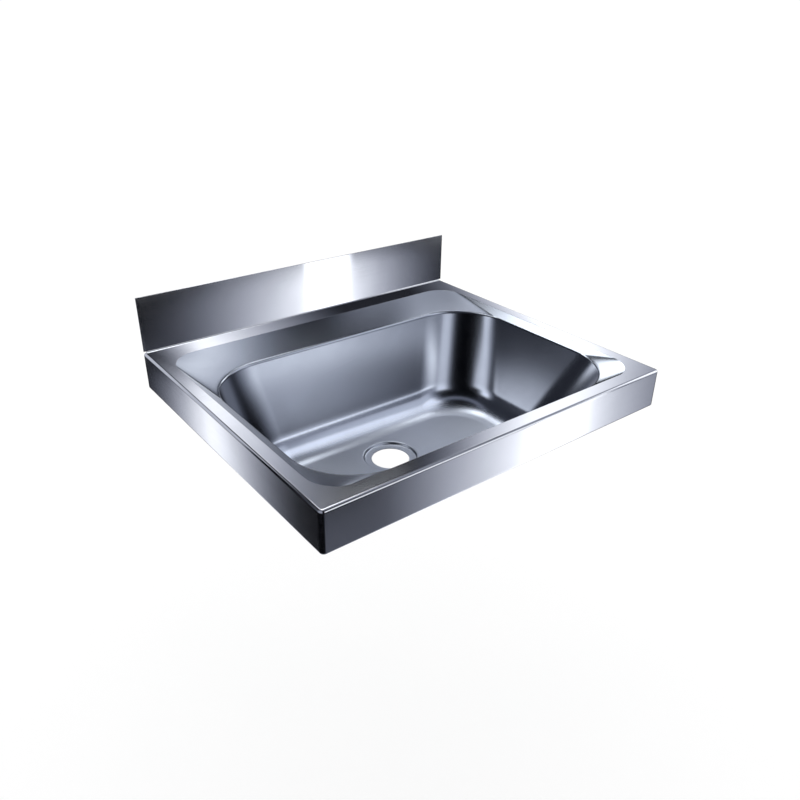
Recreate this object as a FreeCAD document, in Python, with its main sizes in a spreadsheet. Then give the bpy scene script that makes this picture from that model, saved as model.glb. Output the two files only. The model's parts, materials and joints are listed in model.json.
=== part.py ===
import FreeCAD, Part
import math
import os
import Sketcher
from FreeCAD import Placement, Rotation, Vector

# A wall-hung stainless steel hand wash basin.
# X runs to the right as seen from the front, Y into the wall and Z up. Every piece is drawn with
# the wall plane at Y = 0 and the top of the deck at Z = 0, and is then lifted by deck_rise, so that
# the origin lies on the wall, in the middle of the four wall fixing holes.

doc = FreeCAD.newDocument("HandWashBasin")

driving_sizes = [
    # folded deck panel
    ("basin_width", 500, "across the two side aprons"),
    ("deck_depth", 425, "front apron to the face of the upstand"),
    ("sheet", 1.2, "thickness of the stainless sheet"),
    ("upstand_height", 75, "above the deck"),
    ("apron_height", 50, "deck to the lowest edge of the aprons"),
    ("return_width", 12, "flange turned in under the aprons"),
    ("apron_fold", 3, "outside radius where the deck turns down"),
    ("upstand_fold", 2, "inside radius where the deck turns up"),
    ("corner_radius", 5, "upright front corners"),
    ("side_border", 17.5, "flat deck beside the bowl's rim"),
    ("front_border", 20, "flat deck in front of the rim"),
    ("rear_border", 31, "flat deck behind the rim"),
    ("rim_radius", 37, "plan corners of the rim"),
    # drawn bowl
    ("side_ledge", 13, "rim to lip at the sides"),
    ("front_ledge", 8.5, "rim to lip at the front"),
    ("rear_ledge", 63.5, "rim to lip at the back"),
    ("lip_drop", 7.4, "lip below the deck"),
    ("lip_radius", 78, "plan corners of the lip"),
    ("lip_roll", 4, "radius over the lip"),
    ("bowl_depth", 149, "deck to the bowl's floor"),
    ("wall_lean", 24, "how far the side and rear walls lean in over their height"),
    ("front_lean", 72, "how far the raked front wall leans in"),
    ("foot_radius", 85, "plan corners of the walls at floor level"),
    ("cove_radius", 40, "walls into the floor"),
    ("waste_hole", 52, "diameter of the waste hole"),
    ("recess_width", 73, "diameter of the recess round it"),
    ("recess_depth", 3.5, "depth of the recess"),
    ("waste_from_wall", 198.5, "wall to the middle of the waste hole"),
    # channel under the rear border
    ("channel_width", 22, "across the channel"),
    ("channel_height", 15, "depth of its legs"),
    ("channel_setback", 5, "wall to its rear leg"),
    ("channel_end_gap", 3, "short of the rim's width at each end"),
    # brackets
    ("arm_length", 300, "wall to the tip of the arm"),
    ("arm_height", 30, "web at the wall"),
    ("arm_tip_height", 18, "web at the tip"),
    ("arm_sheet", 2.5, "thickness of the arm"),
    ("arm_fold", 4.5, "outside radius of the arm's fold"),
    ("arm_gap", 0.3, "clear of the apron"),
    ("arm_rim_gap", 1.5, "clear of the bowl's rim"),
    ("plate_sheet", 3, "thickness of the wall plate"),
    ("plate_gap", 0.3, "clear of the deck and the returns"),
    ("plate_corner", 4, "corner radius of the plate"),
    ("leg_width", 40, "upright leg of the plate"),
    ("leg_inset", 45, "side of the basin to the leg"),
    ("leg_margin", 18, "lower fixing hole to the end of the leg"),
    ("fixing_hole", 9, "diameter of the wall fixing holes"),
    ("fixing_drop", 26, "deck to the upper fixing holes"),
    ("fixing_pitch", 64, "upper to lower fixing holes"),
    # studs, washers and nuts
    ("stud_diameter", 5, "weld stud"),
    ("stud_length", 14, "weld stud"),
    ("stud_from_wall", 60, "wall to the rear studs"),
    ("stud_pitch", 200, "rear to front studs"),
    ("thread_gap", 0.1, "all round, between a thread and what is on it"),
    ("hole_gap", 0.25, "all round, between a stud and its hole"),
    ("washer_width", 10, "outside diameter"),
    ("washer_sheet", 1, "thickness"),
    ("nut_width", 8, "across flats"),
    ("nut_height", 4, "thickness of a nut"),
    # bonding point
    ("tag_width", 12, "across the tag"),
    ("tag_length", 32, "height of the tag"),
    ("tag_sheet", 1.5, "thickness of the tag"),
    ("tag_margin", 6, "end of the tag to its hole"),
    ("screw_length", 12, "under the head"),
    ("screw_head_width", 9.5, "diameter of the head"),
    ("screw_head_height", 3.5, "height of the head"),
    # sound deadening pads
    ("pad_sheet", 3, "thickness of a pad"),
    ("pad_width", 90, "across the basin"),
    ("pad_length", 130, "front to back"),
    ("pad_corner", 8, "plan corners of a pad"),
    ("pad_from_middle", 68, "middle of the basin to a pad"),
]

sheet = doc.addObject("Spreadsheet::Sheet", "Sizes")
for row, (alias, size, note) in enumerate(driving_sizes, start=1):
    sheet.set(f"A{row}", alias)
    sheet.set(f"B{row}", str(size))
    sheet.set(f"C{row}", note)
    sheet.setAlias(f"B{row}", alias)
doc.recompute()

# Places that several pieces share, as expressions on the sheet.
half_width = "Sizes.basin_width / 2"
front = "-(Sizes.deck_depth + Sizes.sheet)"
rim_half = "(Sizes.basin_width / 2 - Sizes.side_border)"
rim_front = "-(Sizes.deck_depth + Sizes.sheet - Sizes.front_border)"
rim_rear = "-(Sizes.sheet + Sizes.rear_border)"
lip_half = "(Sizes.basin_width / 2 - Sizes.side_border - Sizes.side_ledge)"
lip_front = "-(Sizes.deck_depth + Sizes.sheet - Sizes.front_border - Sizes.front_ledge)"
lip_rear = "-(Sizes.sheet + Sizes.rear_border + Sizes.rear_ledge)"
foot_half = f"({lip_half} - Sizes.wall_lean)"
foot_front = f"({lip_front} + Sizes.front_lean)"
foot_rear = f"({lip_rear} - Sizes.wall_lean)"
deck_rise = "(Sizes.fixing_drop + Sizes.fixing_pitch / 2)"
arm_side = "(Sizes.basin_width / 2 - Sizes.sheet - Sizes.arm_gap)"
arm_edge = "(Sizes.basin_width / 2 - Sizes.side_border + Sizes.arm_rim_gap)"
stud_line = f"({arm_edge} + Sizes.washer_width / 2)"
leg_middle = "(Sizes.basin_width / 2 - Sizes.leg_inset - Sizes.leg_width / 2)"
channel_front = "(Sizes.channel_setback + Sizes.channel_width)"
stud_places = {
    "rear": "-Sizes.stud_from_wall",
    "front": "-(Sizes.stud_from_wall + Sizes.stud_pitch)",
}
beyond = 1.0  # how far a cut runs past the face that it opens
tolerance = 1e-4


def size(expression):
    """The present value of an expression on the sheet, in mm."""
    found = sheet.evalExpression(expression)
    return float(getattr(found, "Value", found))


def new_body(name):
    body = doc.addObject("PartDesign::Body", name)
    body.Label = name
    body.setExpression("Placement.Base.z", deck_rise)
    return body


def new_sketch(body, name, role, offset="0"):
    """An empty sketch on one of the body's own origin planes."""
    plane = next(p for p in body.Origin.OriginFeatures if p.Role == role)
    sketch = body.newObject("Sketcher::SketchObject", name)
    sketch.AttachmentSupport = [(plane, "")]
    sketch.MapMode = "FlatFace"
    sketch.setExpression("AttachmentOffset.Base.z", offset)
    return sketch


def hold(sketch, kind, places, name, expression):
    """A dimension of the sketch that follows an expression."""
    index = sketch.addConstraint(Sketcher.Constraint(kind, *places, size(expression)))
    sketch.renameConstraint(index, name)
    sketch.setExpression(f"Constraints.{name}", expression)


def draw_outline(sketch, corners):
    """A closed outline. Each corner is a pair of expressions for its place and one for the radius
    that rounds it, or None where it is sharp."""
    points = [Vector(size(x), size(y), 0) for x, y, radius in corners]
    count = len(points)
    starts = list(points)
    ends = list(points)
    arcs = [None] * count
    for i, (x, y, radius) in enumerate(corners):
        if radius is None:
            continue
        before = (points[i] - points[i - 1]).normalize()
        after = (points[(i + 1) % count] - points[i]).normalize()
        left_turn = before.cross(after).z > 0
        reach = size(radius) * math.tan(before.getAngle(after) / 2)
        ends[i] = points[i] - before * reach
        starts[i] = points[i] + after * reach
        inward = Vector(-before.y, before.x, 0) * (1 if left_turn else -1)
        middle = ends[i] + inward * size(radius)
        first, last = (ends[i], starts[i]) if left_turn else (starts[i], ends[i])
        angles = [math.atan2(p.y - middle.y, p.x - middle.x) for p in (first, last)]
        circle = Part.Circle(middle, Vector(0, 0, 1), size(radius))
        arcs[i] = (sketch.addGeometry(Part.ArcOfCircle(circle, *angles), False), left_turn)
    lines = [sketch.addGeometry(Part.LineSegment(starts[i], ends[(i + 1) % count]), False)
             for i in range(count)]
    for i, (x, y, radius) in enumerate(corners):
        corner = sketch.addGeometry(Part.Point(points[i]), True)
        hold(sketch, "DistanceX", (-1, 1, corner, 1), f"x{i}", x)
        hold(sketch, "DistanceY", (-1, 1, corner, 1), f"y{i}", y)
        if arcs[i] is None:
            sketch.addConstraint(Sketcher.Constraint("Coincident", lines[i], 1, corner, 1))
            sketch.addConstraint(Sketcher.Constraint("Coincident", lines[i - 1], 2, corner, 1))
            continue
        arc, left_turn = arcs[i]
        arc_start, arc_end = (1, 2) if left_turn else (2, 1)
        sketch.addConstraint(Sketcher.Constraint("PointOnObject", corner, 1, lines[i]))
        sketch.addConstraint(Sketcher.Constraint("PointOnObject", corner, 1, lines[i - 1]))
        sketch.addConstraint(Sketcher.Constraint("Tangent", lines[i - 1], 2, arc, arc_start))
        sketch.addConstraint(Sketcher.Constraint("Tangent", arc, arc_end, lines[i], 1))
        hold(sketch, "Radius", (arc,), f"r{i}", radius)


def draw_rounded(sketch, half, low, high, low_radius, high_radius):
    """An outline the same each side of the middle, with its own radii at the low and high end."""
    draw_outline(sketch, [
        (f"-({half})", low, low_radius),
        (half, low, low_radius),
        (half, high, high_radius),
        (f"-({half})", high, high_radius),
    ])


def draw_circle(sketch, x, y, radius, name):
    circle = Part.Circle(Vector(size(x), size(y), 0), Vector(0, 0, 1), size(radius))
    drawn = sketch.addGeometry(circle, False)
    hold(sketch, "DistanceX", (-1, 1, drawn, 3), f"{name}_x", x)
    hold(sketch, "DistanceY", (-1, 1, drawn, 3), f"{name}_y", y)
    hold(sketch, "Radius", (drawn,), f"{name}_radius", radius)


def add_pad(body, name, sketch, length, reverse=False, both_ways=False):
    pad = body.newObject("PartDesign::Pad", name)
    pad.Profile = sketch
    pad.setExpression("Length", length)
    pad.Reversed = reverse
    pad.Midplane = both_ways
    doc.recompute()
    return pad


def add_pocket(body, name, sketch, length, reverse=False):
    """A pocket that must take something away."""
    before = body.Shape.Volume
    pocket = body.newObject("PartDesign::Pocket", name)
    pocket.Profile = sketch
    pocket.setExpression("Length", length)
    pocket.Reversed = reverse
    doc.recompute()
    if not body.Shape.Volume < before - tolerance:
        raise RuntimeError(f"{name} cuts nothing from {body.Label}")
    return pocket


def add_loft(body, name, kind, sections):
    loft = body.newObject(f"PartDesign::{kind}", name)
    loft.Profile = sections[0]
    loft.Sections = sections[1:]
    loft.Ruled = True
    doc.recompute()
    return loft


def add_fillet(body, name, radius, wanted):
    """A fillet on those edges of the body so far that wanted(bounds) picks out."""
    base = body.Tip
    names = [f"Edge{i}" for i, edge in enumerate(base.Shape.Edges, start=1) if wanted(edge.BoundBox)]
    if not names:
        raise RuntimeError(f"{name} finds no edge on {body.Label}")
    fillet = body.newObject("PartDesign::Fillet", name)
    fillet.Base = (base, names)
    fillet.setExpression("Radius", radius)
    doc.recompute()
    return fillet


def level_at(bounds, height):
    return abs(bounds.ZMin - height) < tolerance and abs(bounds.ZMax - height) < tolerance


def deck_panel():
    """The deck, its upstand and its three aprons, folded from one sheet."""
    body = new_body("deck_panel")

    tray = new_sketch(body, "tray_outline", "XY_Plane")
    draw_outline(tray, [
        (f"-{half_width}", front, "Sizes.corner_radius"),
        (half_width, front, "Sizes.corner_radius"),
        (half_width, "0", None),
        (f"-{half_width}", "0", None),
    ])
    add_pad(body, "tray", tray, "Sizes.apron_height", reverse=True)
    add_fillet(body, "apron_folds", "Sizes.apron_fold",
               lambda b: level_at(b, 0) and b.YMin < -tolerance)

    inside = new_sketch(body, "inside_outline", "XY_Plane", "-Sizes.sheet")
    inner_half = f"({half_width} - Sizes.sheet)"
    inner_front = f"({front} + Sizes.sheet)"
    inner_radius = "Sizes.corner_radius - Sizes.sheet"
    draw_outline(inside, [
        (f"-{inner_half}", inner_front, inner_radius),
        (inner_half, inner_front, inner_radius),
        (inner_half, f"{beyond}", None),
        (f"-{inner_half}", f"{beyond}", None),
    ])
    add_pocket(body, "inside", inside, "Sizes.apron_height - 2 * Sizes.sheet")
    add_fillet(body, "inside_folds", "Sizes.apron_fold - Sizes.sheet",
               lambda b: level_at(b, -size("Sizes.sheet")) and b.YMin < -tolerance)

    returns = new_sketch(body, "returns_outline", "XY_Plane", "-Sizes.apron_height")
    return_half = f"({half_width} - Sizes.return_width)"
    draw_outline(returns, [
        (f"-{return_half}", f"({front} + Sizes.return_width)", None),
        (return_half, f"({front} + Sizes.return_width)", None),
        (return_half, f"{beyond}", None),
        (f"-{return_half}", f"{beyond}", None),
    ])
    add_pocket(body, "between_returns", returns, "2 * Sizes.sheet", reverse=True)

    opening = new_sketch(body, "opening_outline", "XY_Plane")
    draw_rounded(opening, rim_half, rim_front, rim_rear, "Sizes.rim_radius", "Sizes.rim_radius")
    add_pocket(body, "bowl_opening", opening, "2 * Sizes.sheet")

    # The deck turns up into the upstand, between the ends of the side folds.
    strip = "(2 * (Sizes.upstand_fold + Sizes.sheet))"
    strip_half = f"({half_width} - Sizes.apron_fold)"
    notch = new_sketch(body, "notch_outline", "XY_Plane")
    draw_outline(notch, [
        (f"-{strip_half}", f"-{strip}", None),
        (strip_half, f"-{strip}", None),
        (strip_half, f"{beyond}", None),
        (f"-{strip_half}", f"{beyond}", None),
    ])
    add_pocket(body, "upstand_notch", notch, "Sizes.sheet")
    fold = new_sketch(body, "upstand_fold_profile", "YZ_Plane")
    draw_outline(fold, [
        (f"-{strip}", "0", None),
        ("-Sizes.sheet", "0", "Sizes.upstand_fold"),
        ("-Sizes.sheet", "Sizes.upstand_height", None),
        ("0", "Sizes.upstand_height", None),
        ("0", "-Sizes.sheet", "Sizes.upstand_fold + Sizes.sheet"),
        (f"-{strip}", "-Sizes.sheet", None),
    ])
    add_pad(body, "upstand_strip", fold, f"2 * {strip_half}", both_ways=True)
    ends = new_sketch(body, "upstand_outline", "XZ_Plane")
    draw_outline(ends, [
        (f"-{half_width}", "-Sizes.apron_fold", None),
        (f"-{strip_half}", "-Sizes.apron_fold", None),
        (f"-{strip_half}", "Sizes.upstand_fold", None),
        (strip_half, "Sizes.upstand_fold", None),
        (strip_half, "-Sizes.apron_fold", None),
        (half_width, "-Sizes.apron_fold", None),
        (half_width, "Sizes.upstand_height", None),
        (f"-{half_width}", "Sizes.upstand_height", None),
    ])
    add_pad(body, "upstand", ends, "Sizes.sheet")
    return body


def bowl_form(name, drop, grow):
    """A solid with the face of the bowl: its inside face, or its outside one where it is dropped
    and grown by the thickness of the sheet."""
    body = new_body(name)
    levels = [
        ("rim", "0", rim_half, rim_front, rim_rear, "Sizes.rim_radius", "0"),
        ("lip", "Sizes.lip_drop", lip_half, lip_front, lip_rear, "Sizes.lip_radius", grow),
        ("foot", "Sizes.bowl_depth", foot_half, foot_front, foot_rear, "Sizes.foot_radius", grow),
    ]
    sections = []
    for level, depth, half, low, high, radius, more in levels:
        sketch = new_sketch(body, f"{name}_{level}", "XY_Plane", f"-({depth} + {drop})")
        corner = f"({radius} + {more})"
        draw_rounded(sketch, f"({half} + {more})", f"({low} - {more})", f"({high} + {more})",
                     corner, corner)
        sections.append(sketch)
    add_loft(body, f"{name}_walls", "AdditiveLoft", sections)
    floor = -size(f"Sizes.bowl_depth + {drop}")
    add_fillet(body, f"{name}_cove", f"Sizes.cove_radius + {grow}", lambda b: level_at(b, floor))
    lip = -size(f"Sizes.lip_drop + {drop}")
    add_fillet(body, f"{name}_roll", f"Sizes.lip_roll - {grow}", lambda b: level_at(b, lip))
    return body


def bowl():
    """One drawn pressing: a dished ledge, a rolled lip, leaning walls, a coved floor and a waste."""
    inside = bowl_form("bowl_inside", "0", "0")
    outside = bowl_form("bowl_outside", "Sizes.sheet", "Sizes.sheet")
    waste = ("0", "-Sizes.waste_from_wall")
    add_pad(outside, "rim_edge", doc.getObject("bowl_outside_rim"), "Sizes.sheet")

    boss = new_sketch(outside, "recess_outside", "XY_Plane", "-(Sizes.bowl_depth + Sizes.sheet)")
    draw_circle(boss, *waste, "Sizes.recess_width / 2 + Sizes.sheet", "recess")
    add_pad(outside, "recess_shell", boss, "Sizes.recess_depth", reverse=True)
    hollow = new_sketch(inside, "recess_inside", "XY_Plane", "-Sizes.bowl_depth")
    draw_circle(hollow, *waste, "Sizes.recess_width / 2", "recess")
    add_pad(inside, "recess", hollow, "Sizes.recess_depth", reverse=True)
    hole = new_sketch(inside, "waste_outline", "XY_Plane", "-Sizes.bowl_depth")
    draw_circle(hole, *waste, "Sizes.waste_hole / 2", "waste")
    add_pad(inside, "waste", hole, "Sizes.recess_depth + 2 * Sizes.sheet", reverse=True)
    return cut("bowl", outside, inside)


def rear_stiffener():
    """A channel, open downwards, along the underside of the rear border."""
    body = new_body("rear_stiffener")
    rear = "-Sizes.channel_setback"
    foremost = f"-{channel_front}"
    top = "-Sizes.sheet"
    foot = "-(Sizes.sheet + Sizes.channel_height)"
    profile = new_sketch(body, "channel_profile", "YZ_Plane")
    draw_outline(profile, [
        (foremost, foot, None),
        (f"{foremost} + Sizes.sheet", foot, None),
        (f"{foremost} + Sizes.sheet", f"{top} - Sizes.sheet", "Sizes.sheet"),
        (f"{rear} - Sizes.sheet", f"{top} - Sizes.sheet", "Sizes.sheet"),
        (f"{rear} - Sizes.sheet", foot, None),
        (rear, foot, None),
        (rear, top, "2 * Sizes.sheet"),
        (foremost, top, "2 * Sizes.sheet"),
    ])
    add_pad(body, "channel", profile, f"2 * ({rim_half} - Sizes.channel_end_gap)", both_ways=True)
    return body


def bracket_arm(name):
    """The right arm: a folded angle that the side border rests on, deeper at the wall."""
    body = new_body(name)
    top = "-Sizes.sheet"
    foot = "-(Sizes.sheet + Sizes.arm_height)"
    profile = new_sketch(body, f"{name}_profile", "XZ_Plane", "Sizes.plate_sheet")
    draw_outline(profile, [
        (arm_side, foot, None),
        (arm_side, top, "Sizes.arm_fold"),
        (arm_edge, top, None),
        (arm_edge, f"{top} - Sizes.arm_sheet", None),
        (f"{arm_side} - Sizes.arm_sheet", f"{top} - Sizes.arm_sheet",
         "Sizes.arm_fold - Sizes.arm_sheet"),
        (f"{arm_side} - Sizes.arm_sheet", foot, None),
    ])
    add_pad(body, f"{name}_angle", profile, "Sizes.arm_length - Sizes.plate_sheet")

    taper = new_sketch(body, f"{name}_taper", "YZ_Plane", f"{arm_side} + {beyond}")
    past_tip = f"-(Sizes.arm_length + {beyond})"
    past_foot = f"{foot} - {beyond}"
    draw_outline(taper, [
        (past_tip, past_foot, None),
        ("-Sizes.plate_sheet", past_foot, None),
        ("-Sizes.plate_sheet", foot, None),
        ("-Sizes.arm_length", "-(Sizes.sheet + Sizes.arm_tip_height)", None),
        (past_tip, "-(Sizes.sheet + Sizes.arm_tip_height)", None),
    ])
    add_pocket(body, f"{name}_underside", taper, f"Sizes.arm_sheet + 2 * {beyond}")

    holes = new_sketch(body, f"{name}_holes", "XY_Plane", "-Sizes.sheet")
    for place, y in stud_places.items():
        draw_circle(holes, stud_line, y, "Sizes.stud_diameter / 2 + Sizes.hole_gap", place)
    add_pocket(body, f"{name}_stud_holes", holes, f"Sizes.arm_sheet + {beyond}")
    return body


def wall_plate(name):
    """The right plate: a shoulder that the arm is welded to, and a leg behind the bowl with the
    wall fixing holes."""
    body = new_body(name)
    leg_outside = f"({half_width} - Sizes.leg_inset)"
    top = "-(Sizes.sheet + Sizes.plate_gap)"
    shoulder = "-(Sizes.apron_height - Sizes.sheet - Sizes.plate_gap)"
    foot = "-(Sizes.fixing_drop + Sizes.fixing_pitch + Sizes.leg_margin)"
    corner = "Sizes.plate_corner"
    outline = new_sketch(body, f"{name}_outline", "XZ_Plane")
    draw_outline(outline, [
        (f"{leg_outside} - Sizes.leg_width", foot, corner),
        (leg_outside, foot, corner),
        (leg_outside, shoulder, corner),
        (arm_side, shoulder, corner),
        (arm_side, top, corner),
        (f"{leg_outside} - Sizes.leg_width", top, corner),
    ])
    add_pad(body, f"{name}_blank", outline, "Sizes.plate_sheet")
    holes = new_sketch(body, f"{name}_holes", "XZ_Plane")
    draw_circle(holes, leg_middle, "-Sizes.fixing_drop", "Sizes.fixing_hole / 2", "upper")
    draw_circle(holes, leg_middle, "-(Sizes.fixing_drop + Sizes.fixing_pitch)",
                "Sizes.fixing_hole / 2", "lower")
    add_pocket(body, f"{name}_fixing_holes", holes, "Sizes.plate_sheet", reverse=True)
    return body


def floor_pad(name):
    """The right pad: a flat sheet glued under the floor, beside the waste."""
    body = new_body(name)
    inner = "Sizes.pad_from_middle"
    outer = f"({inner} + Sizes.pad_width)"
    middle = f"(({foot_front} + {foot_rear}) / 2)"
    low = f"({middle} - Sizes.pad_length / 2)"
    high = f"({middle} + Sizes.pad_length / 2)"
    corner = "Sizes.pad_corner"
    outline = new_sketch(body, f"{name}_outline", "XY_Plane", "-(Sizes.bowl_depth + Sizes.sheet)")
    draw_outline(outline, [
        (inner, low, corner),
        (outer, low, corner),
        (outer, high, corner),
        (inner, high, corner),
    ])
    add_pad(body, f"{name}_sheet", outline, "Sizes.pad_sheet", reverse=True)
    return body


def place(made, x, y, z, turn=None):
    """Puts a round piece at a place given from the wall plane and the top of the deck. Its axis is
    upright, or lies along the turn's axis."""
    if turn is not None:
        made.Placement = Placement(Vector(), turn)
    made.setExpression("Placement.Base.x", x)
    made.setExpression("Placement.Base.y", y)
    made.setExpression("Placement.Base.z", f"{z} + {deck_rise}")
    return made


def cylinder(name, radius, length, x, y, z, turn=None):
    made = doc.addObject("Part::Cylinder", name)
    made.setExpression("Radius", radius)
    made.setExpression("Height", length)
    return place(made, x, y, z, turn)


def hexagon(name, across_flats, length, x, y, z, turn=None):
    made = doc.addObject("Part::Prism", name)
    made.Polygon = 6
    made.setExpression("Circumradius", f"{across_flats} / sqrt(3)")
    made.setExpression("Height", length)
    return place(made, x, y, z, turn)


def cut(name, base, tool):
    made = doc.addObject("Part::Cut", name)
    made.Label = name
    made.Base = base
    made.Tool = tool
    return made


def group(name, pieces):
    """Like pieces that stay separate solids in one node."""
    made = doc.addObject("Part::Compound", name)
    made.Label = name
    made.Links = pieces
    return made


def mirrored(name, source):
    """The left-hand twin of a right-hand piece."""
    made = doc.addObject("Part::Mirroring", name)
    made.Label = name
    made.Source = source
    made.Normal = Vector(1, 0, 0)
    return made


def stud_fastenings():
    """Four weld studs under the side borders, and the washer and nut that hold each to its arm."""
    bore = "Sizes.stud_diameter / 2 + Sizes.thread_gap"
    washer_foot = "-(Sizes.sheet + Sizes.arm_sheet + Sizes.washer_sheet)"
    nut_foot = f"{washer_foot} - Sizes.nut_height"
    studs, washers, nuts = [], [], []
    for side, x in (("left", f"-{stud_line}"), ("right", stud_line)):
        for station, y in stud_places.items():
            spot = f"{side}_{station}"
            studs.append(cylinder(f"stud_{spot}", "Sizes.stud_diameter / 2", "Sizes.stud_length",
                                  x, y, "-(Sizes.sheet + Sizes.stud_length)"))
            washers.append(cut(
                f"washer_{spot}",
                cylinder(f"washer_blank_{spot}", "Sizes.washer_width / 2", "Sizes.washer_sheet",
                         x, y, washer_foot),
                cylinder(f"washer_bore_{spot}", bore, "Sizes.washer_sheet", x, y, washer_foot)))
            nuts.append(cut(
                f"nut_{spot}",
                hexagon(f"nut_blank_{spot}", "Sizes.nut_width", "Sizes.nut_height", x, y, nut_foot),
                cylinder(f"nut_bore_{spot}", bore, "Sizes.nut_height", x, y, nut_foot)))
    return [group("deck_studs", studs), group("stud_washers", washers), group("stud_nuts", nuts)]


def bonding_point():
    """A tag welded to the front leg of the rear channel, with its screw, washer and nut."""
    tag = new_body("earth_tag")
    top = "-(4 * Sizes.sheet)"
    foot = f"({top} - Sizes.tag_length)"
    hole = f"({foot} + Sizes.tag_margin)"
    left = "-Sizes.tag_width / 2"
    right = "Sizes.tag_width / 2"
    outline = new_sketch(tag, "tag_outline", "XZ_Plane", channel_front)
    draw_outline(outline, [
        (left, foot, "Sizes.plate_corner"),
        (right, foot, "Sizes.plate_corner"),
        (right, top, None),
        (left, top, None),
    ])
    add_pad(tag, "tag_blank", outline, "Sizes.tag_sheet")
    holes = new_sketch(tag, "tag_hole_outline", "XZ_Plane", channel_front)
    draw_circle(holes, "0", hole, "Sizes.stud_diameter / 2 + Sizes.hole_gap", "hole")
    add_pocket(tag, "tag_hole", holes, "Sizes.tag_sheet", reverse=True)

    outwards = Rotation(Vector(1, 0, 0), 90)  # turns an upright axis to point away from the wall
    bore = "Sizes.stud_diameter / 2 + Sizes.thread_gap"
    spot = ("0", f"-{channel_front}", hole, outwards)
    washer_spot = ("0", f"-({channel_front} + Sizes.tag_sheet)", hole, outwards)
    nut_spot = ("0", f"-({channel_front} + Sizes.tag_sheet + Sizes.washer_sheet)",
                hole, outwards)
    shank = cylinder("earth_screw_shank", "Sizes.stud_diameter / 2", "Sizes.screw_length", *spot)
    head = cylinder("earth_screw_head", "Sizes.screw_head_width / 2", "Sizes.screw_head_height",
                    "0", f"-{channel_front} + Sizes.screw_head_height", hole, outwards)
    screw = doc.addObject("Part::Fuse", "earth_screw")
    screw.Label = "earth_screw"
    screw.Base = head
    screw.Tool = shank
    washer = cut(
        "earth_washer",
        cylinder("earth_washer_blank", "Sizes.washer_width / 2", "Sizes.washer_sheet", *washer_spot),
        cylinder("earth_washer_bore", bore, "Sizes.washer_sheet", *washer_spot))
    nut = cut(
        "earth_nut",
        hexagon("earth_nut_blank", "Sizes.nut_width", "Sizes.nut_height", *nut_spot),
        cylinder("earth_nut_bore", bore, "Sizes.nut_height", *nut_spot))
    return [tag, screw, washer, nut]


def write_parts(nodes):
    """Checks the whole document, then writes one STEP file for each node."""
    doc.recompute()
    failed = [item.Name for item in doc.Objects if {"Invalid", "Error"} & set(item.State)]
    if failed:
        raise RuntimeError(f"these objects failed: {failed}")
    for node in nodes:
        if node.Shape.isNull() or not node.Shape.isValid():
            raise RuntimeError(f"{node.Label} has no valid shape")
    os.makedirs("parts", exist_ok=True)
    for node in nodes:
        node.Shape.exportStep(f"parts/{node.Label}.step")
        print(f"{node.Label}: {len(node.Shape.Solids)} solid(s), {node.Shape.Volume:.1f} mm3")


right_arm = bracket_arm("right_bracket_arm")
right_plate = wall_plate("right_wall_plate")
right_pad = floor_pad("right_floor_pad")
write_parts([
    deck_panel(),
    bowl(),
    rear_stiffener(),
    right_arm,
    mirrored("left_bracket_arm", right_arm),
    right_plate,
    mirrored("left_wall_plate", right_plate),
    right_pad,
    mirrored("left_floor_pad", right_pad),
    *stud_fastenings(),
    *bonding_point(),
])
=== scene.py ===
import json
import math

import bmesh
import bpy
from mathutils import Matrix, Vector


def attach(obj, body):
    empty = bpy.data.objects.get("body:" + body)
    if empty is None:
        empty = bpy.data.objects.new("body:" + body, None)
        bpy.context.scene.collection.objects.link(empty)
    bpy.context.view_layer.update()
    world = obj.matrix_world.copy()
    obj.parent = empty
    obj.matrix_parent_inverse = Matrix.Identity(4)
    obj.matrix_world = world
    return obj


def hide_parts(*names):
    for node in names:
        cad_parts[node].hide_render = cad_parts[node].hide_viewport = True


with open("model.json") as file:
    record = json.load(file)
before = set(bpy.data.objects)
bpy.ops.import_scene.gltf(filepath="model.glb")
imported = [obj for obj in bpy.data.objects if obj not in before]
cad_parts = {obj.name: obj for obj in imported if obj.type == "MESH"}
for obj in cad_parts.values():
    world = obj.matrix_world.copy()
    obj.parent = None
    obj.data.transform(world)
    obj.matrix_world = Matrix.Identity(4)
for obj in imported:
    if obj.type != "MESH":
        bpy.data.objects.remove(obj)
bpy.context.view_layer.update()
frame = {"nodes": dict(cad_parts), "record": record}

mm = 0.001
near = 0.01 * mm  # places closer than this are one place


camera = {
    "place": (-0.52646, -0.89614, 0.45886),  # metres from the middle of the wall fixings
    "turn": -37.834,  # degrees round from straight ahead
    "rise": 27.895,   # degrees above the deck
    "roll": 0.713,
    "lens": 33.596, "sensor": 36,       # mm
    "nearest": 0.02, "farthest": 60,    # metres
}


def addCamera():
    turn, rise, roll = (math.radians(camera[k]) for k in ("turn", "rise", "roll"))
    back = Vector((math.sin(turn) * math.cos(rise), -math.cos(turn) * math.cos(rise), math.sin(rise)))
    side = Vector((0, 0, 1)).cross(back).normalized()
    up = back.cross(side)
    side, up = (side * math.cos(roll) + up * math.sin(roll), up * math.cos(roll) - side * math.sin(roll))
    data = bpy.data.cameras.new("photoCamera")
    data.lens, data.sensor_width = camera["lens"], camera["sensor"]
    data.clip_start, data.clip_end = camera["nearest"], camera["farthest"]
    seen = bpy.data.objects.new("photoCamera", data)
    seen.matrix_world = Matrix((side, up, back)).transposed().to_4x4()
    seen.location = camera["place"]
    bpy.context.scene.collection.objects.link(seen)
    bpy.context.scene.camera = seen


addCamera()
print("camera placed")


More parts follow.
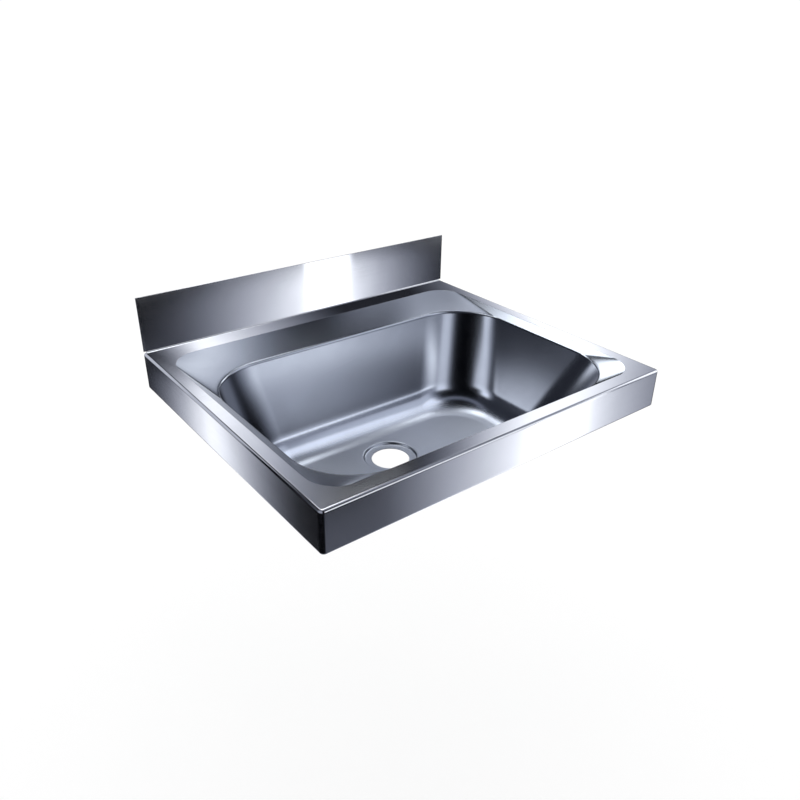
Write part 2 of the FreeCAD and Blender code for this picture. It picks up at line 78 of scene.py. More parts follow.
class Signal:
    # a node's output that can be used in sums

    def __init__(self, finish, socket):
        self.finish, self.socket = finish, socket

    def sum(self, kind, *terms):
        return self.finish.sumOf(kind, *terms)

    def __add__(self, other):
        return self.sum("ADD", self, other)

    def __sub__(self, other):
        return self.sum("SUBTRACT", self, other)

    def __rsub__(self, other):
        return self.sum("SUBTRACT", other, self)

    def __mul__(self, other):
        return self.sum("MULTIPLY", self, other)

    def __pow__(self, other):
        return self.sum("POWER", self, other)

    __radd__ = __add__
    __rmul__ = __mul__


class Finish:
    # one material, or the world's light, and the ways to wire it

    def __init__(self, name, tree=None):
        self.material = None
        if tree is None:
            self.material = bpy.data.materials.new(name)
            self.material.use_nodes = True
            tree = self.material.node_tree
        self.tree = tree
        self.tree.nodes.clear()

    def add(self, kind, settings=None, inputs=None, output=0):
        node = self.tree.nodes.new(kind)
        for key, value in (settings or {}).items():
            setattr(node, key, value)
        for key, value in (inputs or {}).items():
            if isinstance(value, Signal):
                self.tree.links.new(value.socket, node.inputs[key])
            else:
                node.inputs[key].default_value = value
        return Signal(self, node.outputs[output] if len(node.outputs) else None)

    def sumOf(self, kind, *terms):
        return self.add("ShaderNodeMath", {"operation": kind}, dict(enumerate(terms)))

    def axis(self, vector, index):
        return self.add("ShaderNodeSeparateXYZ", inputs={0: vector}, output=index)

    def place(self, scale=(1, 1, 1)):
        where = self.add("ShaderNodeTexCoord", output="Object")
        return self.add("ShaderNodeMapping", inputs={"Vector": where, "Scale": scale})

    def height(self):
        return self.axis(self.add("ShaderNodeTexCoord", output="Object"), 2)

    def noise(self, where, scale, detail, rough):
        return self.add("ShaderNodeTexNoise", {"noise_dimensions": "3D"},
                        {"Vector": where, "Scale": scale, "Detail": detail, "Roughness": rough})

    def cells(self, where, scale, feature, output=0):
        inputs = {"Vector": where, "Scale": scale}
        return self.add("ShaderNodeTexVoronoi", {"feature": feature}, inputs, output)

    def span(self, signal, low, high):
        # from 0 at the first value to 1 at the second, eased at both ends
        return self.add("ShaderNodeMapRange", {"interpolation_type": "SMOOTHSTEP"},
                        {0: signal, 1: low, 2: high, 3: 0.0, 4: 1.0})

    def blend(self, amount, first, second):
        return self.add("ShaderNodeMix", {"data_type": "RGBA"}, {0: amount, 6: first, 7: second}, 2)

    def paint(self, colour):
        return (*colour, 1)

    def worn(self, colour, amount, share):
        # a colour that darkens to a share of itself
        return self.blend(amount, self.paint(colour), self.paint([c * share for c in colour]))

    def bump(self, height, depth, strength=1.0):
        return self.add("ShaderNodeBump", inputs={"Height": height, "Distance": depth, "Strength": strength})

    def surface(self, **inputs):
        inputs = {key.replace("_", " "): value for key, value in inputs.items()}
        shade = self.add("ShaderNodeBsdfPrincipled", inputs=inputs)
        self.add("ShaderNodeOutputMaterial", inputs={"Surface": shade})
        return self.material


def roundedOutline(mesh, half, front, rear, level, radius, steps, frontOnly=False):
    # the edges of a rectangle lying flat at a level, with its corners rounded
    corners = bmesh.ops.create_grid(mesh, x_segments=1, y_segments=1, size=1.0)["verts"]
    middle = (front + rear) / 2 * mm
    bmesh.ops.scale(mesh, vec=(half * mm, (rear - front) / 2 * mm, 1), verts=corners)
    bmesh.ops.translate(mesh, vec=(0, middle, level * mm), verts=corners)
    known = set(mesh.faces) - {f for v in corners for f in v.link_faces}
    if frontOnly:
        corners = [v for v in corners if v.co.y < middle]
    bmesh.ops.bevel(mesh, geom=corners, offset=radius * mm, offset_type="OFFSET", segments=steps,
                    profile=0.5, affect="VERTICES", material=-1)
    face = next(f for f in mesh.faces if f not in known)
    edges = list(face.edges)
    bmesh.ops.delete(mesh, geom=[face], context="FACES_ONLY")
    return edges


def grown(mesh, edges):
    # a new row of faces on some edges, still lying on them: its new corners and its far edges
    made = bmesh.ops.extrude_edge_only(mesh, edges=edges)["geom"]
    verts = [v for v in made if isinstance(v, bmesh.types.BMVert)]
    far = [e for e in made if isinstance(e, bmesh.types.BMEdge) and all(v in verts for v in e.verts)]
    return verts, far


def freeEdges(mesh, fits):
    # the edges of a single face whose two ends lie where they fit
    return [e for e in mesh.edges if len(e.link_faces) == 1 and all(fits(v.co) for v in e.verts)]


def faceUp(mesh, level):
    # turns every face the same way round, so that those above a level look up
    bmesh.ops.recalc_face_normals(mesh, faces=mesh.faces)
    up = sum(f.normal.z * f.calc_area() for f in mesh.faces if f.calc_center_median().z > level)
    if up < 0:
        bmesh.ops.reverse_faces(mesh, faces=mesh.faces)


edgeEase = {"width": 0.25, "steps": 2, "sharperThan": 50}


def finishMesh(mesh, name, sheet=0):
    # the faces look up and out; a sheet gets its thickness behind them and eased edges
    for face in mesh.faces:
        face.smooth = True
    data = bpy.data.meshes.new(name)
    mesh.to_mesh(data)
    mesh.free()
    piece = bpy.data.objects.new(name, data)
    bpy.context.scene.collection.objects.link(piece)
    if sheet:
        thick = piece.modifiers.new("sheet", "SOLIDIFY")
        thick.thickness, thick.offset = sheet * mm, -1
        thick.use_even_offset = thick.use_quality_normals = True
        eased = piece.modifiers.new("easedEdges", "BEVEL")
        eased.width, eased.segments, eased.limit_method = edgeEase["width"] * mm, edgeEase["steps"], "ANGLE"
        eased.angle_limit, eased.harden_normals = math.radians(edgeEase["sharperThan"]), True
    return piece


bowl = {
    "deckTop": 58,
    "rim": (232.5, -406.2, -32.2, 37),   # half width, front, rear, corner radius
    "lip": (219.5, -397.7, -95.7, 78),
    "foot": (195.5, -325.7, -119.7, 85),
    "lipDrop": 7.4, "lipRoll": 4,
    "depth": 149, "cove": 40,
    "sheet": 1.2,
    "cornerSteps": 32, "sideCuts": 16,
    "ledgeRows": (0, -0.4, -1.2, -2.4, -3.6, -4.8),     # levels below the deck
    "rollSteps": 14, "rollCrowding": 1.35,
    "underRoll": (1.2, 3.5, 8),                         # rows below the rolled lip
    "wallStart": 16, "wallEnd": 4, "wallSteps": 9,
    "coveSteps": 22,
}
waste = {
    "middle": (0, -198.5), "hole": 52, "recess": 73, "recessDepth": 3.5,
    # the recess's side: out from its radius, down from the floor
    "side": ((4, 0), (1.6, 0), (0.7, 0.25), (0.1, 0.9), (-0.2, 1.75), (-0.5, 2.6), (-1.1, 3.25), (-2, 3.5)),
    "steps": 96,
}


def sideProfile(lip, foot):
    # how far in from the rim one side of the bowl is: its ledge, rolled lip, wall and cove
    lipLevel = -bowl["lipDrop"]
    floor = -bowl["depth"]
    ledge = math.atan2(bowl["lipDrop"], lip)
    wall = math.atan2(lipLevel - floor, foot - lip)
    roll, cove = bowl["lipRoll"], bowl["cove"]
    reach = roll * math.tan((wall - ledge) / 2)
    rollStart = (lip - reach * math.cos(ledge), lipLevel + reach * math.sin(ledge))
    rollEnd = (lip + reach * math.cos(wall), lipLevel - reach * math.sin(wall))
    rollMiddle = (rollStart[0] - roll * math.sin(ledge), rollStart[1] - roll * math.cos(ledge))
    coveReach = cove * math.tan(wall / 2)
    coveStart = floor + coveReach * math.sin(wall)
    coveMiddle = (foot + coveReach, floor + cove)

    def inAt(level):
        if level >= rollStart[1]:
            return -level / math.tan(ledge)
        if level > rollEnd[1]:
            drop = level - rollMiddle[1]
            return rollMiddle[0] + math.sqrt(max(roll ** 2 - drop ** 2, 0))
        if level >= coveStart:
            return lip + (lipLevel - level) / math.tan(wall)
        rise = coveMiddle[1] - level
        return coveMiddle[0] - math.sqrt(max(cove ** 2 - rise ** 2, 0))

    return {"inAt": inAt, "rollTop": rollStart[1], "rollLow": rollEnd[1], "coveTop": coveStart}


def bowlLevels(sides):
    # the heights of the bowl's rows, closest where it turns most
    floor, cove = -bowl["depth"], bowl["cove"]
    rollTop = max(side["rollTop"] for side in sides)
    rollLow = min(side["rollLow"] for side in sides)
    coveTop = max(side["coveTop"] for side in sides)
    wallTop, wallLow = rollLow - bowl["wallStart"], coveTop + bowl["wallEnd"]
    levels = list(bowl["ledgeRows"])
    for i in range(bowl["rollSteps"] + 1):
        levels.append(rollTop - (rollTop - rollLow) * (i / bowl["rollSteps"]) ** bowl["rollCrowding"])
    levels += [rollLow - drop for drop in bowl["underRoll"]]
    for i in range(bowl["wallSteps"] + 1):
        levels.append(wallTop + (wallLow - wallTop) * i / bowl["wallSteps"])
    turn = math.acos(1 - (coveTop - floor) / cove)
    for i in range(bowl["coveSteps"] + 1):
        levels.append(floor + cove * (1 - math.cos(turn * (1 - i / bowl["coveSteps"]))))
    return levels


def cornerRadius(level, inSide):
    # grows from the rim to the lip, then from the lip to the foot, less what the cove takes
    rim, lip, foot = bowl["rim"], bowl["lip"], bowl["foot"]
    drop = bowl["lipDrop"]
    if level > -drop:
        return rim[3] + (lip[3] - rim[3]) * level / -drop
    share = (level + drop) / (drop - bowl["depth"])
    wallLine = (rim[0] - lip[0]) + (lip[0] - foot[0]) * share
    return lip[3] + (foot[3] - lip[3]) * share - max(inSide - wallLine, 0)


def bowlRow(mesh, half, front, rear, radius, level):
    # one row of the bowl, with its four straight sides cut up
    edges = roundedOutline(mesh, half, front, rear, level, radius, bowl["cornerSteps"])
    straight = sorted(edges, key=lambda e: -e.calc_length())[:4]
    rest = [e for e in edges if e not in straight]
    cut = bmesh.ops.subdivide_edges(mesh, edges=straight, cuts=bowl["sideCuts"])
    return rest + [e for e in cut["geom_split"] if isinstance(e, bmesh.types.BMEdge)]


def sinkWaste(mesh, floorEdges):
    # the floor runs in to the recess, its small step, and the edge of the waste hole
    recess, hole = waste["recess"] / 2, waste["hole"] / 2
    rings = [(recess + out, -down) for out, down in waste["side"]]
    rings += [(hole + bowl["sheet"], -waste["recessDepth"]), (hole, -waste["recessDepth"])]
    verts = bmesh.ops.create_circle(mesh, cap_ends=False, segments=waste["steps"],
                                    radius=rings[0][0] * mm)["verts"]
    centre = Vector((*waste["middle"], bowl["deckTop"] - bowl["depth"])) * mm
    bmesh.ops.translate(mesh, vec=centre, verts=verts)
    ring = list(dict.fromkeys(e for v in verts for e in v.link_edges))
    bmesh.ops.triangle_fill(mesh, use_beauty=True, use_dissolve=False, edges=floorEdges + ring)
    for (wide, high), (radius, low) in zip(rings, rings[1:]):
        verts, ring = grown(mesh, ring)
        bmesh.ops.scale(mesh, vec=(radius / wide, radius / wide, 1),
                        space=Matrix.Translation(-centre), verts=verts)
        bmesh.ops.translate(mesh, vec=(0, 0, (low - high) * mm), verts=verts)


def buildBowl():
    rim, lip, foot = bowl["rim"], bowl["lip"], bowl["foot"]
    side = sideProfile(rim[0] - lip[0], rim[0] - foot[0])
    front = sideProfile(lip[1] - rim[1], foot[1] - rim[1])
    rear = sideProfile(rim[2] - lip[2], rim[2] - foot[2])
    mesh = bmesh.new()
    before = None
    for level in bowlLevels((side, front, rear)):
        inSide = side["inAt"](level)
        row = bowlRow(mesh, rim[0] - inSide, rim[1] + front["inAt"](level), rim[2] - rear["inAt"](level),
                      cornerRadius(level, inSide), bowl["deckTop"] + level)
        if before:
            bmesh.ops.bridge_loops(mesh, edges=before + row)
        before = row
    sinkWaste(mesh, before)
    faceUp(mesh, -math.inf)
    return finishMesh(mesh, "bowlPressing", bowl["sheet"])


bowlPiece = buildBowl()
print("bowl made:", len(bowlPiece.data.polygons), "faces")


deck = {
    "half": 250, "front": -426.2, "top": bowl["deckTop"], "sheet": 1.2,
    "apron": 50, "flange": 12, "fold": 3, "flangeFold": 1.6, "corner": 5, "tightest": 0.4,
    "upstand": 75, "upstandFold": 2, "wallGap": 0.05,
    "besideFold": (1.2, 0.4), "afterFold": 0.8, "aroundRim": 1,     # rows that keep the flats flat
    "foldSteps": 7, "flangeSteps": 4, "upstandSteps": 6, "cornerSteps": 8, "rearCuts": 40,
}


def foldTurn(steps):
    # how far along and how far across a fold its rows lie, as shares of its radius
    for i in range(steps + 1):
        angle = math.radians(90 * i / steps)
        yield math.sin(angle), 1 - math.cos(angle)


def apronRows():
    # inset and level of each row, from the deck over the fold and down the apron into its flange
    top, fold, flangeFold, flat = deck["top"], deck["fold"], deck["flangeFold"], deck["afterFold"]
    low = top - deck["apron"]
    rows = [(fold + beside, top) for beside in deck["besideFold"]]
    rows += [(fold * (1 - along), top - fold * down) for along, down in foldTurn(deck["foldSteps"])]
    rows += [(0, top - fold - flat), (0, low + flangeFold + flat)]
    rows += [(flangeFold * inward, low + flangeFold * (1 - along))
             for along, inward in foldTurn(deck["flangeSteps"])]
    return rows + [(flangeFold + flat, low), (deck["flange"], low)]


def apronLine(mesh, inset, level, rear):
    # the left, front and right edges of the panel at one place in the fold, as an open line
    corner = max(deck["corner"] - inset, deck["tightest"])
    edges = roundedOutline(mesh, deck["half"] - inset, deck["front"] + inset, rear, level, corner,
                           deck["cornerSteps"], frontOnly=True)
    back = [e for e in edges if min(v.co.y for v in e.verts) > rear * mm - near]
    bmesh.ops.delete(mesh, geom=back, context="EDGES")
    return [e for e in edges if e.is_valid]


def fillDeck(mesh, outer, rear):
    # the flat deck between the fold and the bowl's rim
    backRow = {v for e in outer for v in e.verts if v.co.y > rear * mm - near}
    backRow = sorted(backRow, key=lambda v: v.co.x)
    backEdge = mesh.edges.new((backRow[0], backRow[-1]))
    cut = bmesh.ops.subdivide_edges(mesh, edges=[backEdge], cuts=deck["rearCuts"])
    backEdges = [e for e in cut["geom_split"] if isinstance(e, bmesh.types.BMEdge)]
    half, front, back, radius = bowl["rim"]
    out = deck["aroundRim"]
    aroundRim = bowlRow(mesh, half + out, front - out, back + out, radius + out, deck["top"])
    rim = bowlRow(mesh, half, front, back, radius, deck["top"])
    bmesh.ops.bridge_loops(mesh, edges=aroundRim + rim)
    bmesh.ops.triangle_fill(mesh, use_beauty=True, use_dissolve=False, edges=outer + backEdges + aroundRim)


def turnUpstand(mesh, rear):
    # the deck's rear edge turns up and runs on to the upstand's top
    top, fold = deck["top"], deck["upstandFold"]
    rearEdges = freeEdges(mesh, lambda at: at.y > rear * mm - near and at.z > top * mm - near)
    spun = bmesh.ops.spin(mesh, geom=rearEdges, cent=(0, rear * mm, (top + fold) * mm), axis=(1, 0, 0),
                          dvec=(0, 0, 0), angle=math.radians(90), steps=deck["upstandSteps"],
                          use_duplicate=False)["geom_last"]
    row = [e for e in spun if isinstance(e, bmesh.types.BMEdge)]
    crest, flat = top + deck["upstand"], deck["afterFold"]
    for level in (top + fold + flat, crest - flat, crest):
        verts, row = grown(mesh, row)
        for v in verts:
            v.co.z = level * mm


def closeEnd(mesh, side, rear):
    # the upstand's end reaches past the fold of the side apron
    foldStart, foldTop = (deck["half"] - deck["fold"]) * mm, (deck["top"] + deck["upstandFold"]) * mm
    ends = freeEdges(mesh, lambda at: at.x * side > foldStart - near and at.z > foldTop - near
                     and at.y > -deck["sheet"] * mm - near)
    ends = [e for e in ends if abs(e.verts[0].co.z - e.verts[1].co.z) > near]
    verts, far = grown(mesh, ends)
    for v in verts:
        v.co.x = side * deck["half"] * mm
    # and the side fold, the apron and its flange run back to the wall
    across = freeEdges(mesh, lambda at: abs(at.y - rear * mm) < near and at.x * side > deck["half"] / 2 * mm)
    verts, far = grown(mesh, across)
    for v in verts:
        v.co.y = -deck["wallGap"] * mm


def buildDeck():
    rear = -(deck["sheet"] + deck["upstandFold"])
    mesh = bmesh.new()
    before = outer = None
    for inset, level in apronRows():
        line = apronLine(mesh, inset, level, rear)
        if before:
            bmesh.ops.bridge_loops(mesh, edges=before + line)
        else:
            outer = line
        before = line
    fillDeck(mesh, outer, rear)
    turnUpstand(mesh, rear)
    for side in (-1, 1):
        closeEnd(mesh, side, rear)
    bmesh.ops.remove_doubles(mesh, verts=mesh.verts, dist=near)
    faceUp(mesh, deck["top"] * mm - near)
    return finishMesh(mesh, "deckSheet", deck["sheet"] - deck["wallGap"])


deckPiece = buildDeck()
print("deck made:", len(deckPiece.data.polygons), "faces")


# in the finishes' dictionaries a noise is its scale, detail and roughness, and a span runs from 0
# at its first value to 1 at its second
brushed = {
    "colour": (0.62, 0.64, 0.69), "worn": 0.95, "wornSpan": (0.3, 0.7),
    "splashRough": 0.09, "apronRough": 0.11, "deckRough": 0.1,
    "levelSpan": (0.3, 0.7), "splashSpan": (0.0585, 0.0605),  # how level a face is, metres up
    "lines": 1500, "lineLength": 6, "lineNoise": (1, 4, 0.6), "lineRough": 0.08, "lineDepth": 0.0000006,
    "clouds": (14, 3, 0.55), "cloudRough": 0.05,
    "stretch": 1.0, "stretchTurn": 0.25,  # how far a highlight is drawn out across the grain
}


def brushedSheet():
    # straight grain along the sheet: sideways on flat faces and on upright ones
    finish = Finish("brushedSheet")
    level = finish.axis(finish.add("ShaderNodeNewGeometry", output="Normal"), 2)
    flat = finish.span(level * level, *brushed["levelSpan"])
    splash = finish.span(finish.height(), *brushed["splashSpan"])
    along, fine = brushed["lineLength"], brushed["lines"]
    lying = finish.noise(finish.place((along, fine, along)), *brushed["lineNoise"])
    upright = finish.noise(finish.place((along, along, fine)), *brushed["lineNoise"])
    grain = lying * flat + upright * (1 - flat)
    clouds = finish.noise(finish.place(), *brushed["clouds"])
    rough = brushed["apronRough"] + flat * (brushed["deckRough"] - brushed["apronRough"])
    rough = rough + splash * (brushed["splashRough"] - brushed["apronRough"])
    rough = rough + (grain - 0.5) * brushed["lineRough"] + (clouds - 0.5) * brushed["cloudRough"]
    tint = finish.worn(brushed["colour"], finish.span(clouds, *brushed["wornSpan"]), brushed["worn"])
    return finish.surface(Base_Color=tint, Metallic=1.0, Roughness=rough, Anisotropic=brushed["stretch"],
                          Anisotropic_Rotation=brushed["stretchTurn"],
                          Normal=finish.bump(grain, brushed["lineDepth"]))


pressing = {
    "colour": (0.57, 0.62, 0.71), "worn": 0.95, "wornSpan": (0.3, 0.7),
    "wallRough": 0.2, "ledgeRough": 0.22, "floorRough": 0.34,
    # painted light in the bowl's colour: below 1 darkens the ledge as painted shade, above 1 brightens the
    # cove and floor as a painted highlight
    "ledgePaintedShade": 0.84, "covePaintedHighlight": 1.4, "floorLightTone": 1.25,
    "ledgeSpan": (0.0485, 0.0506), "coveSpan": (-0.05, -0.07), "floorSpan": (-0.078, -0.09),  # metres up
    "grain": (900, 900, 900), "grainNoise": (1, 3, 0.6), "grainRough": 0.06, "grainDepth": 0.0000012,
    "clouds": (11, 4, 0.6), "cloudRough": 0.08,
}


def satinPressingPaintedLight():
    # the drawn bowl: satin on its ledge and floor, brighter on the walls; its colour is scaled by height for
    # painted light: painted shade on the ledge, a painted highlight in the cove and painted light on the
    # floor
    finish = Finish("satinPressingPaintedLight")
    height = finish.height()
    ledge, cove, floor = (finish.span(height, *pressing[k]) for k in ("ledgeSpan", "coveSpan", "floorSpan"))
    grain = finish.noise(finish.place(pressing["grain"]), *pressing["grainNoise"])
    clouds = finish.noise(finish.place(), *pressing["clouds"])
    rough = pressing["wallRough"] + ledge * (pressing["ledgeRough"] - pressing["wallRough"])
    rough = rough + floor * (pressing["floorRough"] - pressing["wallRough"])
    rough = rough + (grain - 0.5) * pressing["grainRough"] + (clouds - 0.5) * pressing["cloudRough"]
    # painted light: the colour is scaled darker on the ledge as painted shade and brighter in the cove and on
    # the floor as a painted highlight
    paintedLight = 1 + ledge * (pressing["ledgePaintedShade"] - 1) + cove * (pressing["covePaintedHighlight"] - 1)
    paintedLight = paintedLight + floor * (pressing["floorLightTone"] - pressing["covePaintedHighlight"])
    tint = finish.worn(pressing["colour"], finish.span(clouds, *pressing["wornSpan"]), pressing["worn"])
    tint = finish.add("ShaderNodeVectorMath", {"operation": "SCALE"}, {0: tint, "Scale": paintedLight})
    return finish.surface(Base_Color=tint, Metallic=1.0, Roughness=rough,
                          Normal=finish.bump(grain, pressing["grainDepth"]))


zinc = {
    "bright": (0.6, 0.62, 0.63), "dull": (0.4, 0.42, 0.43), "rough": 0.34,
    "spangles": 150, "facetRough": 0.2, "facetHeight": 0.3, "depth": 0.00002,
    "seamSpan": (0.05, 0.0), "seamRough": 0.1,
    "chalk": (0.62, 0.62, 0.6), "patches": (22, 5, 0.65), "patchSpan": (0.52, 0.74),
    "chalky": 0.55, "chalkRough": 0.4, "chalkDull": 0.8,
}


def galvanisedSteel():
    # hot dipped zinc: crystals of different tone, chalky in places
    finish = Finish("galvanisedSteel")
    where = finish.place()
    crystals = finish.cells(where, zinc["spangles"], "F1", 1)
    facet = finish.add("ShaderNodeSeparateColor", inputs={0: crystals}, output=0)
    seam = finish.span(finish.cells(where, zinc["spangles"], "DISTANCE_TO_EDGE"), *zinc["seamSpan"])
    chalk = finish.span(finish.noise(where, *zinc["patches"]), *zinc["patchSpan"]) * zinc["chalky"]
    tint = finish.blend(facet, finish.paint(zinc["bright"]), finish.paint(zinc["dull"]))
    tint = finish.blend(chalk, tint, finish.paint(zinc["chalk"]))
    rough = zinc["rough"] + facet * zinc["facetRough"] + chalk * zinc["chalkRough"] + seam * zinc["seamRough"]
    return finish.surface(Base_Color=tint, Metallic=1 - chalk * zinc["chalkDull"], Roughness=rough,
                          Normal=finish.bump(facet * zinc["facetHeight"] - seam, zinc["depth"]))


fixings = {
    "steel": (0.6, 0.6, 0.62), "steelTarnish": 0.8,
    "brass": (0.72, 0.55, 0.26), "brassTarnish": 0.55,
    "rough": 0.24, "depth": 0.000004,
    "rings": (40, 2600, 40), "ringNoise": (1, 2, 0.5), "ringRough": 0.16,
    "marks": (900, 120, 400), "markNoise": (1, 5, 0.7), "markRough": 0.12,
    "patches": (260, 4, 0.6), "patchSpan": (0.5, 0.72), "patchRough": 0.2,
}


def turnedMetal(name, colour, tarnish):
    # fine rings left by turning, handling marks and a darker tarnish that gathers in patches
    finish = Finish(name)
    rings = finish.noise(finish.place(fixings["rings"]), *fixings["ringNoise"])
    marks = finish.noise(finish.place(fixings["marks"]), *fixings["markNoise"])
    dark = finish.span(finish.noise(finish.place(), *fixings["patches"]), *fixings["patchSpan"])
    tint = finish.worn(colour, dark, tarnish)
    rough = fixings["rough"] + (rings - 0.5) * fixings["ringRough"] + dark * fixings["patchRough"]
    rough = rough + (marks - 0.5) * fixings["markRough"]
    return finish.surface(Base_Color=tint, Metallic=1.0, Roughness=rough,
                          Normal=finish.bump(rings + marks, fixings["depth"]))


pad = {
    "colour": (0.06, 0.06, 0.065), "dust": (0.16, 0.155, 0.15), "rough": 0.86, "dustRough": 0.1, "gloss": 0.3,
    "cells": 420, "valleySpan": (0.35, 0.7), "valleyDust": 0.5, "depth": 0.0002, "relief": 0.8,
    "patches": (45, 5, 0.65), "patchSpan": (0.5, 0.75), "patchDust": 0.35,
}


def dampingPad():
    # embossed bitumen felt: small raised cells, a little dust between them
    finish = Finish("dampingPad")
    where = finish.place()
    cell = finish.cells(where, pad["cells"], "SMOOTH_F1")
    patches = finish.span(finish.noise(where, *pad["patches"]), *pad["patchSpan"])
    dust = finish.span(cell, *pad["valleySpan"]) * pad["valleyDust"] + patches * pad["patchDust"]
    tint = finish.blend(dust, finish.paint(pad["colour"]), finish.paint(pad["dust"]))
    return finish.surface(Base_Color=tint, Metallic=0.0, Roughness=pad["rough"] + dust * pad["dustRough"],
                          Specular_IOR_Level=pad["gloss"],
                          Normal=finish.bump(1 - cell, pad["depth"], pad["relief"]))


finishes = {
    "stainless_sheet": brushedSheet(),
    "stainless_pressing": satinPressingPaintedLight(),
    "galvanised_steel": galvanisedSteel(),
    "stainless_fastener": turnedMetal("turnedSteel", fixings["steel"], fixings["steelTarnish"]),
    "brass_fastener": turnedMetal("turnedBrass", fixings["brass"], fixings["brassTarnish"]),
    "damping_pad": dampingPad(),
}


def layFinish(piece, slot):
    piece.data.materials.clear()
    piece.data.materials.append(finishes[slot])
    piece.visible_glossy = False  # the photo's steel shows the studio only, never the steel beside it


for piece, node, slot in ((deckPiece, "deck_panel", "stainless_sheet"),
                          (bowlPiece, "bowl", "stainless_pressing")):
    layFinish(piece, slot)
    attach(piece, "root")
    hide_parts(node)
for part in frame["record"]["subparts"]:
    piece = frame["nodes"][part["node"]]
    if not piece.hide_render:
        layFinish(piece, part["material_slot"])
print("finishes laid on")


studio = {"floor": -0.85, "reach": 30, "white": (1, 1, 1, 1), "light": 1.03}


def buildFloor():
    mesh = bmesh.new()
    bmesh.ops.create_grid(mesh, x_segments=1, y_segments=1, size=studio["reach"])
    bmesh.ops.translate(mesh, vec=(0, 0, studio["floor"]), verts=mesh.verts)
    floor = finishMesh(mesh, "studioFloor")
    pale = Finish("paleFloor").surface(Base_Color=studio["white"], Roughness=1.0, Specular_IOR_Level=0.0)
    floor.data.materials.append(pale)


def lightWorld():
    world = bpy.data.worlds.new("studio")
    bpy.context.scene.world = world
    world.use_nodes = True
    sky = Finish("sky", world.node_tree)
    light = sky.add("ShaderNodeBackground", inputs={"Color": studio["white"], "Strength": studio["light"]})
    sky.add("ShaderNodeOutputWorld", inputs={"Surface": light})


# a dark round tent with soft cards of light in it, seen only in the steel; the bowl has one of its own
tent = {
    "radius": 0.75, "middle": -0.21, "floor": -0.84, "roof": 1.05, "sides": 96,
    "inside": 0.01,     # how much smaller the bowl's tent is
    "capEdge": 0.02, "capSoft": 0.005,
    "cloth": 0.05, "roofTone": 0.35, "floorLightTone": 0.5, "shade": (0.68, 0.74, 1.0),
    "hub": 0.44, "hubSoft": 0.07, "hubDark": 0.85,
    "gain": 2.0, "contrast": 2.2,
}
# degrees round from the basin's front towards its right: middle, flat half width, reach to either side;
# metres: low edge, high edge, softness of both, tilt for each degree; then the tone
sheetCards = {
    "frontRight": (43, 2, 44, 29, -0.9, -0.14, 0.03, 0.003, 0.99),
    "frontCore": (42.5, 4.5, 5.8, 5.8, -0.9, -0.1, 0.03, 0.003, 1.12),
    "frontFill": (2, 10, 40, 45, -0.9, -0.36, 0.04, 0, 0.31),
    "midFront": (38, 16, 28, 28, -0.45, 0.12, 0.02, 0, 0.31),
    "highFront": (60, 30, 70, 50, 0.12, 0.95, 0.08, 0, 0.52),
    "lowRight": (108, 8, 31, 36, -0.9, -0.3, 0.08, 0, 0.9),
    "farRight": (113, 4.5, 31, 31, 0.1, 0.9, 0.06, 0, 0.94),
    "rear": (176, 1, 29, 9, 0.12, 0.9, 0.1, 0, 0.94),
    "rearDim": (150, 45, 70, 80, -0.9, 1.0, 0.05, 0, 0.15),
    "leftRear": (221.5, 0.5, 13, 17, -0.9, -0.2, 0.025, -0.004, 0.95),
    "overRear": (160, 20, 38, 38, 1.0, 1.3, 0.05, 0, 1.3),
    "overFront": (70, 60, 85, 90, 1.03, 1.3, 0.01, 0, 0.5),
    "behind": (168, 25, 45, 35, -0.9, 0.14, 0.05, 0, 0.5),
    "leftAhead": (290, 30, 44, 44, -0.08, 0.9, 0.06, 0, 0.5),
    "foldAhead": (20, 25, 30, 30, -0.08, 0.25, 0.05, 0, 0.95),
    "foldLeft": (218, 20, 24, 24, -0.12, 0.6, 0.06, 0, 0.66),
    "foldRight": (62, 8, 24, 20, -0.02, 0.5, 0.05, 0, 0.95),
}
bowlCards = {
    "wallTop": (22, 6, 30, 72, -0.11, 0.0, 0.03, 0, 0.9),
    "wallMiddle": (22, 2, 30, 44, -0.26, -0.1, 0.03, 0, 0.59),
    "wallOver": (20, 12, 22, 60, -0.03, 0.3, 0.03, 0, 0.42),
    "leftCorner": (115, 15, 45, 60, -0.3, 0.0, 0.05, 0, 0.38),
    "leftLedge": (170, 4, 55, 16, 0.0, 0.14, 0.015, 0.0015, 0.85),
    "stripeAhead": (357, 8, 24, 22, -0.14, 0.3, 0.03, 0, 0.72),
    "stripeLeft": (253, 8, 16, 16, 0.04, 0.3, 0.03, 0, 0.78),
    "stripeLow": (268, 14, 44, 26, -0.24, 0.04, 0.03, -0.004, 0.75),
    "patch": (224, 4, 12, 14, -0.6, -0.18, 0.06, 0, 0.8),
    "dim": (200, 60, 80, 80, -0.9, 1.0, 0.05, 0, 0.16),
    "frontHigh": (55, 25, 60, 45, 0.2, 1.1, 0.06, 0, 0.56),
    "frontBand": (60, 30, 60, 60, 0.6, 1.3, 0.05, 0, 0.74),
    "rearRight": (129, 5, 14, 14, 0.37, 0.55, 0.03, 0, 0.8),
    "rearFloor": (141, 6, 13, 14, 0.22, 0.38, 0.03, 0, 0.6),
    "rearMiddle": (146, 3, 8, 8, 0.33, 0.44, 0.03, 0, 0.45),
    "rearLedge": (174, 1, 20, 10, 0.3, 0.7, 0.06, 0, 0.9),
    "rearHigh": (158, 13, 22, 22, 0.8, 1.3, 0.05, 0, 1.25),
    "rightLedge": (115, 4, 10, 9, 0.24, 0.8, 0.04, 0, 1.25),
}


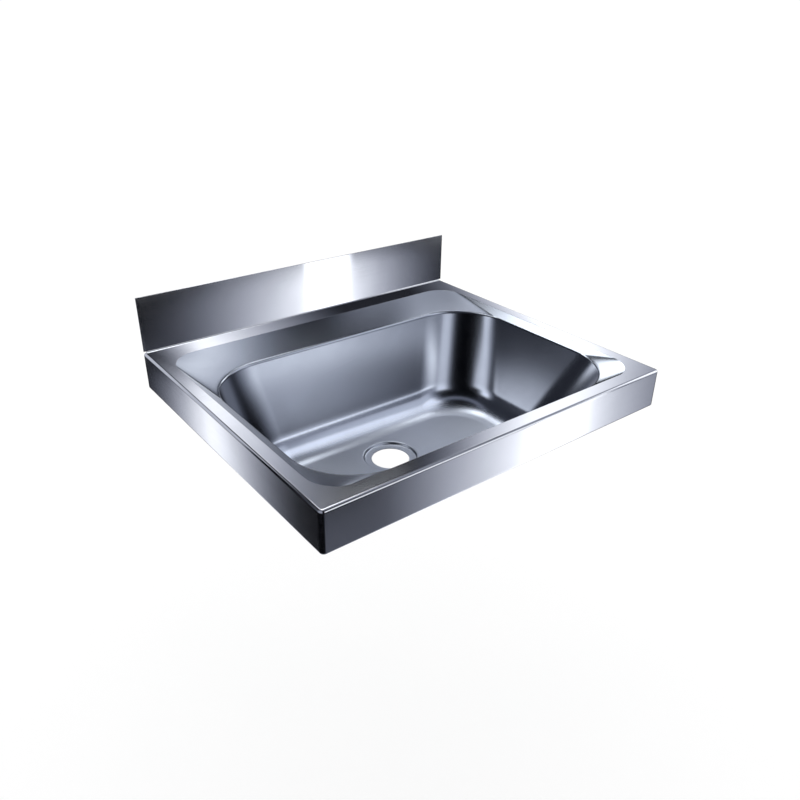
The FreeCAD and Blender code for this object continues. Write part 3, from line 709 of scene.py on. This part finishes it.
def cardTone(finish, turned, z, card):
    # full at its middle, fading to nothing at its edges
    middle, flat, left, right, low, high, soft, tilt, tone = card
    aside = finish.add("ShaderNodeMath", {"operation": "WRAP"}, {0: turned - middle, 1: 180.0, 2: -180.0})
    fromLeft = finish.add("ShaderNodeMapRange", inputs={0: aside, 1: -left, 2: -flat, 3: 0.0, 4: tone})
    toRight = finish.add("ShaderNodeMapRange", inputs={0: aside, 1: flat, 2: right, 3: tone, 4: 0.0})
    across = finish.sumOf("MINIMUM", fromLeft, toRight)
    level = z - aside * tilt
    return across * finish.span(level, low - soft, low + soft) * finish.span(level, high + soft, high - soft)


def tentCloth(name, cards, passing):
    finish = Finish(name)
    where = finish.add("ShaderNodeTexCoord", output="Object")
    x, y, z = (finish.axis(where, i) for i in range(3))
    ahead = (y - tent["middle"]) * -1
    turned = finish.sumOf("ARCTAN2", x, ahead) * math.degrees(1)
    roofEdge, floorEdge = tent["roof"] - tent["capEdge"], tent["floor"] + tent["capEdge"]
    roof = finish.span(z, roofEdge, roofEdge + tent["capSoft"])
    floor = finish.span(z, floorEdge, floorEdge - tent["capSoft"])
    tone = finish.sumOf("MAXIMUM", roof * tent["roofTone"] + floor * tent["floorLightTone"], tent["cloth"])
    for card in cards.values():
        tone = finish.sumOf("MAXIMUM", tone, cardTone(finish, turned, z, card))
    if passing:  # this one's roof is dark in the middle
        away = finish.sumOf("SQRT", x * x + ahead * ahead)
        hub = finish.span(away, tent["hub"] + tent["hubSoft"], tent["hub"] - tent["hubSoft"])
        tone = tone * (1 - roof * hub * tent["hubDark"])
    colour = finish.blend(tone, finish.paint(tent["shade"]), studio["white"])
    strength = (tone ** tent["contrast"]) * tent["gain"]
    glow = finish.add("ShaderNodeEmission", inputs={"Color": colour, "Strength": strength})
    if passing:  # the sheet's own tent is seen through this one
        clear = finish.add("ShaderNodeBsdfTransparent")
        glow = finish.add("ShaderNodeAddShader", inputs={0: glow, 1: clear})
    finish.add("ShaderNodeOutputMaterial", inputs={"Surface": glow})
    return finish.material


def buildTent(name, cards, lit, passing):
    mesh = bmesh.new()
    inside = tent["inside"] * passing
    radius = tent["radius"] - inside
    bmesh.ops.create_cone(mesh, cap_ends=True, cap_tris=False, segments=tent["sides"], radius1=radius,
                          radius2=radius, depth=tent["roof"] - tent["floor"] - 2 * inside)
    bmesh.ops.translate(mesh, vec=(0, tent["middle"], (tent["roof"] + tent["floor"]) / 2), verts=mesh.verts)
    cloth = finishMesh(mesh, name)
    cloth.data.materials.append(tentCloth(name + "Cloth", cards, passing))
    cloth.visible_camera = cloth.visible_diffuse = cloth.visible_shadow = cloth.visible_transmission = False
    receivers = bpy.data.collections.new(name + "Falls")
    for piece in lit:
        receivers.objects.link(piece)
    cloth.light_linking.receiver_collection = receivers


buildFloor()
lightWorld()
sheets = [deckPiece] + [piece for piece in frame["nodes"].values() if not piece.hide_render]
buildTent("sheetLight", sheetCards, sheets, False)
buildTent("bowlLight", bowlCards, [bowlPiece], True)
bpy.context.scene.view_settings.view_transform = "Standard"
print("studio set up")
